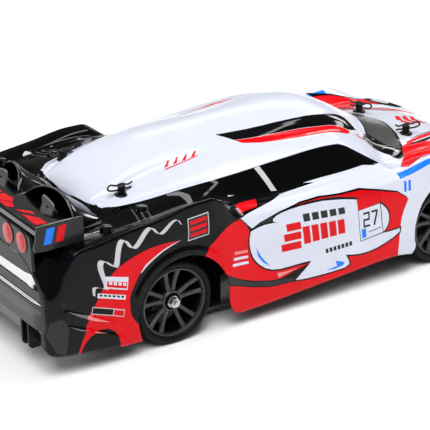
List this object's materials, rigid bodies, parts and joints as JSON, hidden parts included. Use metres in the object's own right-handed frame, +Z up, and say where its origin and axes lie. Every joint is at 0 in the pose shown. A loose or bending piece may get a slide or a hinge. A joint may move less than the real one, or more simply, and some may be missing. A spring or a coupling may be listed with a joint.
{
  "type": "rc drift car",
  "caption": "Radio-controlled four-wheel-drive drift car: suspended, steered chassis under a removable painted coupe shell with a tail wing and wire body clips",
  "frame": {"origin": "on the ground, under the middle of the car's overall length and width", "axes": "+X forward, +Y left, +Z up"},
  "size_m": [0.456, 0.199, 0.132],
  "materials": {
    "carbon_plate": "woven carbon, satin",
    "black_nylon": "moulded black nylon",
    "aluminium": "machined",
    "steel": "turned steel",
    "spring_steel": "coiled wire",
    "battery_wrap": "shrink wrap",
    "foam": "closed-cell foam",
    "shell_paint": "clear polycarbonate, painted inside",
    "wing_plastic": "moulded black plastic",
    "tyre": "hard smooth drift compound",
    "rim": "dark gunmetal",
    "clip_wire": "black spring wire"
  },
  "bodies": {
    "chassis": {"chassis_plate": "carbon_plate", "gearbox_housings": "black_nylon", "shock_towers": "carbon_plate", "shock_bodies": "aluminium", "motor": "steel", "battery": "battery_wrap", "electronics": "black_nylon", "front_bumper": "foam", "body_posts": "black_nylon", "body_shell": "shell_paint", "rear_wing": "wing_plastic", "spring_rear_left": "spring_steel", "spring_rear_right": "spring_steel", "spring_front_left": "spring_steel", "spring_front_right": "spring_steel"},
    "rear_spool": {"rear_spool": "steel"},
    "propeller_shaft": {"propeller_shaft": "aluminium"},
    "motor_pinion": {"motor_pinion": "steel"},
    "servo_horn": {"servo_horn": "black_nylon"},
    "steering_link": {"steering_link": "aluminium"},
    "lower_arm_rear_left": {"lower_arm_rear_left": "black_nylon"},
    "upper_arm_rear_left": {"upper_arm_rear_left": "black_nylon"},
    "hub_carrier_rear_left": {"hub_carrier_rear_left": "black_nylon"},
    "shock_rod_rear_left": {"shock_rod_rear_left": "steel"},
    "drive_shaft_rear_left": {"drive_shaft_rear_left": "steel"},
    "wheel_rear_left": {"axle_rear_left": "steel", "rim_rear_left": "rim", "tyre_rear_left": "tyre"},
    "lower_arm_rear_right": {"lower_arm_rear_right": "black_nylon"},
    "upper_arm_rear_right": {"upper_arm_rear_right": "black_nylon"},
    "hub_carrier_rear_right": {"hub_carrier_rear_right": "black_nylon"},
    "shock_rod_rear_right": {"shock_rod_rear_right": "steel"},
    "drive_shaft_rear_right": {"drive_shaft_rear_right": "steel"},
    "wheel_rear_right": {"axle_rear_right": "steel", "rim_rear_right": "rim", "tyre_rear_right": "tyre"},
    "lower_arm_front_left": {"lower_arm_front_left": "black_nylon"},
    "upper_arm_front_left": {"upper_arm_front_left": "black_nylon"},
    "hub_carrier_front_left": {"hub_carrier_front_left": "black_nylon"},
    "shock_rod_front_left": {"shock_rod_front_left": "steel"},
    "drive_shaft_front_left": {"drive_shaft_front_left": "steel"},
    "wheel_front_left": {"axle_front_left": "steel", "rim_front_left": "rim", "tyre_front_left": "tyre"},
    "steering_knuckle_left": {"steering_knuckle_left": "black_nylon"},
    "lower_arm_front_right": {"lower_arm_front_right": "black_nylon"},
    "upper_arm_front_right": {"upper_arm_front_right": "black_nylon"},
    "hub_carrier_front_right": {"hub_carrier_front_right": "black_nylon"},
    "shock_rod_front_right": {"shock_rod_front_right": "steel"},
    "drive_shaft_front_right": {"drive_shaft_front_right": "steel"},
    "wheel_front_right": {"axle_front_right": "steel", "rim_front_right": "rim", "tyre_front_right": "tyre"},
    "steering_knuckle_right": {"steering_knuckle_right": "black_nylon"},
    "tie_rod_left": {"tie_rod_left": "steel"},
    "tie_rod_right": {"tie_rod_right": "steel"},
    "body_clip_rear_left": {"body_clip_rear_left": "clip_wire"},
    "body_clip_rear_right": {"body_clip_rear_right": "clip_wire"},
    "body_clip_front_left": {"body_clip_front_left": "clip_wire"},
    "body_clip_front_right": {"body_clip_front_right": "clip_wire"}
  },
  "joints": [
    {"name": "propeller_spin", "type": "hinge", "parent": "chassis", "child": "propeller_shaft", "pos_m": [0, 0, 0.033], "axis": [1, 0, 0], "continuous": true},
    {"name": "motor_spin", "type": "hinge", "parent": "chassis", "child": "motor_pinion", "pos_m": [-0.02, 0.034, 0.027], "axis": [1, 0, 0], "continuous": true},
    {"name": "rear_spool_spin", "type": "hinge", "parent": "chassis", "child": "rear_spool", "pos_m": [-0.118, 0, 0.033], "axis": [0, 1, 0], "continuous": true},
    {"name": "suspension_rear_left", "type": "hinge", "parent": "chassis", "child": "lower_arm_rear_left", "pos_m": [-0.118, 0.022, 0.017], "axis": [1, 0, 0], "range_deg": [-6, 6], "stiffness_Nm_per_rad": 3, "springref_deg": -2.86},
    {"name": "upper_arm_rear_left_swing", "type": "hinge", "parent": "chassis", "child": "upper_arm_rear_left", "pos_m": [-0.118, 0.022, 0.049], "axis": [1, 0, 0], "range_deg": [-6, 6]},
    {"name": "carrier_rear_left_level", "type": "hinge", "parent": "lower_arm_rear_left", "child": "hub_carrier_rear_left", "pos_m": [-0.118, 0.066, 0.017], "axis": [1, 0, 0], "range_deg": [-6, 6]},
    {"name": "shock_rear_left_stroke", "type": "slide", "parent": "chassis", "child": "shock_rod_rear_left", "axis": [0, 0, 1], "range_m": [-0.0026, 0.0026], "deforming": ["spring_rear_left"]},
    {"name": "wheel_rear_left_spin", "type": "hinge", "parent": "hub_carrier_rear_left", "child": "wheel_rear_left", "pos_m": [-0.118, 0.08, 0.033], "axis": [0, 1, 0], "continuous": true},
    {"name": "drive_shaft_rear_left_spin", "type": "hinge", "parent": "lower_arm_rear_left", "child": "drive_shaft_rear_left", "pos_m": [-0.118, 0.044, 0.033], "axis": [0, 1, 0], "continuous": true},
    {"name": "suspension_rear_right", "type": "hinge", "parent": "chassis", "child": "lower_arm_rear_right", "pos_m": [-0.118, -0.022, 0.017], "axis": [-1, 0, 0], "range_deg": [-6, 6], "stiffness_Nm_per_rad": 3, "springref_deg": -2.86},
    {"name": "upper_arm_rear_right_swing", "type": "hinge", "parent": "chassis", "child": "upper_arm_rear_right", "pos_m": [-0.118, -0.022, 0.049], "axis": [-1, 0, 0], "range_deg": [-6, 6]},
    {"name": "carrier_rear_right_level", "type": "hinge", "parent": "lower_arm_rear_right", "child": "hub_carrier_rear_right", "pos_m": [-0.118, -0.066, 0.017], "axis": [-1, 0, 0], "range_deg": [-6, 6]},
    {"name": "shock_rear_right_stroke", "type": "slide", "parent": "chassis", "child": "shock_rod_rear_right", "axis": [0, 0, 1], "range_m": [-0.0026, 0.0026], "deforming": ["spring_rear_right"]},
    {"name": "wheel_rear_right_spin", "type": "hinge", "parent": "hub_carrier_rear_right", "child": "wheel_rear_right", "pos_m": [-0.118, -0.08, 0.033], "axis": [0, 1, 0], "continuous": true},
    {"name": "drive_shaft_rear_right_spin", "type": "hinge", "parent": "lower_arm_rear_right", "child": "drive_shaft_rear_right", "pos_m": [-0.118, -0.044, 0.033], "axis": [0, 1, 0], "continuous": true},
    {"name": "suspension_front_left", "type": "hinge", "parent": "chassis", "child": "lower_arm_front_left", "pos_m": [0.139, 0.022, 0.017], "axis": [1, 0, 0], "range_deg": [-6, 6], "stiffness_Nm_per_rad": 3, "springref_deg": -2.86},
    {"name": "upper_arm_front_left_swing", "type": "hinge", "parent": "chassis", "child": "upper_arm_front_left", "pos_m": [0.139, 0.022, 0.049], "axis": [1, 0, 0], "range_deg": [-6, 6]},
    {"name": "carrier_front_left_level", "type": "hinge", "parent": "lower_arm_front_left", "child": "hub_carrier_front_left", "pos_m": [0.139, 0.066, 0.017], "axis": [1, 0, 0], "range_deg": [-6, 6]},
    {"name": "shock_front_left_stroke", "type": "slide", "parent": "chassis", "child": "shock_rod_front_left", "axis": [0, 0, 1], "range_m": [-0.0026, 0.0026], "deforming": ["spring_front_left"]},
    {"name": "steering_left", "type": "hinge", "parent": "hub_carrier_front_left", "child": "steering_knuckle_left", "pos_m": [0.139, 0.066, 0.033], "axis": [0, 0, 1], "range_deg": [-23, 23]},
    {"name": "wheel_front_left_spin", "type": "hinge", "parent": "steering_knuckle_left", "child": "wheel_front_left", "pos_m": [0.139, 0.08, 0.033], "axis": [0, 1, 0], "continuous": true},
    {"name": "drive_shaft_front_left_spin", "type": "hinge", "parent": "lower_arm_front_left", "child": "drive_shaft_front_left", "pos_m": [0.139, 0.044, 0.033], "axis": [0, 1, 0], "continuous": true},
    {"name": "suspension_front_right", "type": "hinge", "parent": "chassis", "child": "lower_arm_front_right", "pos_m": [0.139, -0.022, 0.017], "axis": [-1, 0, 0], "range_deg": [-6, 6], "stiffness_Nm_per_rad": 3, "springref_deg": -2.86},
    {"name": "upper_arm_front_right_swing", "type": "hinge", "parent": "chassis", "child": "upper_arm_front_right", "pos_m": [0.139, -0.022, 0.049], "axis": [-1, 0, 0], "range_deg": [-6, 6]},
    {"name": "carrier_front_right_level", "type": "hinge", "parent": "lower_arm_front_right", "child": "hub_carrier_front_right", "pos_m": [0.139, -0.066, 0.017], "axis": [-1, 0, 0], "range_deg": [-6, 6]},
    {"name": "shock_front_right_stroke", "type": "slide", "parent": "chassis", "child": "shock_rod_front_right", "axis": [0, 0, 1], "range_m": [-0.0026, 0.0026], "deforming": ["spring_front_right"]},
    {"name": "steering_right", "type": "hinge", "parent": "hub_carrier_front_right", "child": "steering_knuckle_right", "pos_m": [0.139, -0.066, 0.033], "axis": [0, 0, 1], "range_deg": [-23, 23]},
    {"name": "wheel_front_right_spin", "type": "hinge", "parent": "steering_knuckle_right", "child": "wheel_front_right", "pos_m": [0.139, -0.08, 0.033], "axis": [0, 1, 0], "continuous": true},
    {"name": "drive_shaft_front_right_spin", "type": "hinge", "parent": "lower_arm_front_right", "child": "drive_shaft_front_right", "pos_m": [0.139, -0.044, 0.033], "axis": [0, 1, 0], "continuous": true},
    {"name": "steering_link_slide", "type": "slide", "parent": "chassis", "child": "steering_link", "axis": [0, 1, 0], "range_m": [-0.0105, 0.0105]},
    {"name": "servo_horn_turn", "type": "hinge", "parent": "chassis", "child": "servo_horn", "pos_m": [0.095, 0.022, 0.042], "axis": [0, 0, 1], "range_deg": [-34, 34]},
    {"name": "tie_rod_left_swing", "type": "hinge", "parent": "steering_link", "child": "tie_rod_left", "pos_m": [0.113, 0.022, 0.0235], "axis": [1, 0, 0], "range_deg": [-6, 6]},
    {"name": "tie_rod_right_swing", "type": "hinge", "parent": "steering_link", "child": "tie_rod_right", "pos_m": [0.113, -0.022, 0.0235], "axis": [-1, 0, 0], "range_deg": [-6, 6]},
    {"name": "clip_rear_left_pull", "type": "slide", "parent": "chassis", "child": "body_clip_rear_left", "axis": [-1, 0, 0], "range_m": [0, 0.022]},
    {"name": "clip_rear_right_pull", "type": "slide", "parent": "chassis", "child": "body_clip_rear_right", "axis": [-1, 0, 0], "range_m": [0, 0.022]},
    {"name": "clip_front_left_pull", "type": "slide", "parent": "chassis", "child": "body_clip_front_left", "axis": [0.342, -0.9397, 0], "range_m": [0, 0.022]},
    {"name": "clip_front_right_pull", "type": "slide", "parent": "chassis", "child": "body_clip_front_right", "axis": [0.9563, -0.2924, 0], "range_m": [0, 0.022]}
  ],
  "couplings": [
    {"joint": "motor_spin", "follows": "propeller_spin", "ratio": -2.45},
    {"joint": "rear_spool_spin", "follows": "propeller_spin", "ratio": 0.5},
    {"joint": "upper_arm_rear_left_swing", "follows": "suspension_rear_left", "ratio": 1},
    {"joint": "carrier_rear_left_level", "follows": "suspension_rear_left", "ratio": -1},
    {"joint": "shock_rear_left_stroke", "follows": "suspension_rear_left", "m_per_rad": 0.024},
    {"joint": "wheel_rear_left_spin", "follows": "propeller_spin", "ratio": 0.5},
    {"joint": "drive_shaft_rear_left_spin", "follows": "propeller_spin", "ratio": 0.5},
    {"joint": "upper_arm_rear_right_swing", "follows": "suspension_rear_right", "ratio": 1},
    {"joint": "carrier_rear_right_level", "follows": "suspension_rear_right", "ratio": -1},
    {"joint": "shock_rear_right_stroke", "follows": "suspension_rear_right", "m_per_rad": 0.024},
    {"joint": "wheel_rear_right_spin", "follows": "propeller_spin", "ratio": 0.5},
    {"joint": "drive_shaft_rear_right_spin", "follows": "propeller_spin", "ratio": 0.5},
    {"joint": "upper_arm_front_left_swing", "follows": "suspension_front_left", "ratio": 1},
    {"joint": "carrier_front_left_level", "follows": "suspension_front_left", "ratio": -1},
    {"joint": "shock_front_left_stroke", "follows": "suspension_front_left", "m_per_rad": 0.024},
    {"joint": "drive_shaft_front_left_spin", "follows": "wheel_front_left_spin", "ratio": 1},
    {"joint": "upper_arm_front_right_swing", "follows": "suspension_front_right", "ratio": 1},
    {"joint": "carrier_front_right_level", "follows": "suspension_front_right", "ratio": -1},
    {"joint": "shock_front_right_stroke", "follows": "suspension_front_right", "m_per_rad": 0.024},
    {"joint": "drive_shaft_front_right_spin", "follows": "wheel_front_right_spin", "ratio": 1},
    {"joint": "steering_right", "follows": "steering_left", "ratio": 1},
    {"joint": "steering_link_slide", "follows": "steering_left", "m_per_rad": -0.026},
    {"joint": "servo_horn_turn", "follows": "steering_left", "ratio": -1.4444},
    {"joint": "tie_rod_left_swing", "follows": "suspension_front_left", "ratio": 1},
    {"joint": "tie_rod_right_swing", "follows": "suspension_front_right", "ratio": 1}
  ]
}
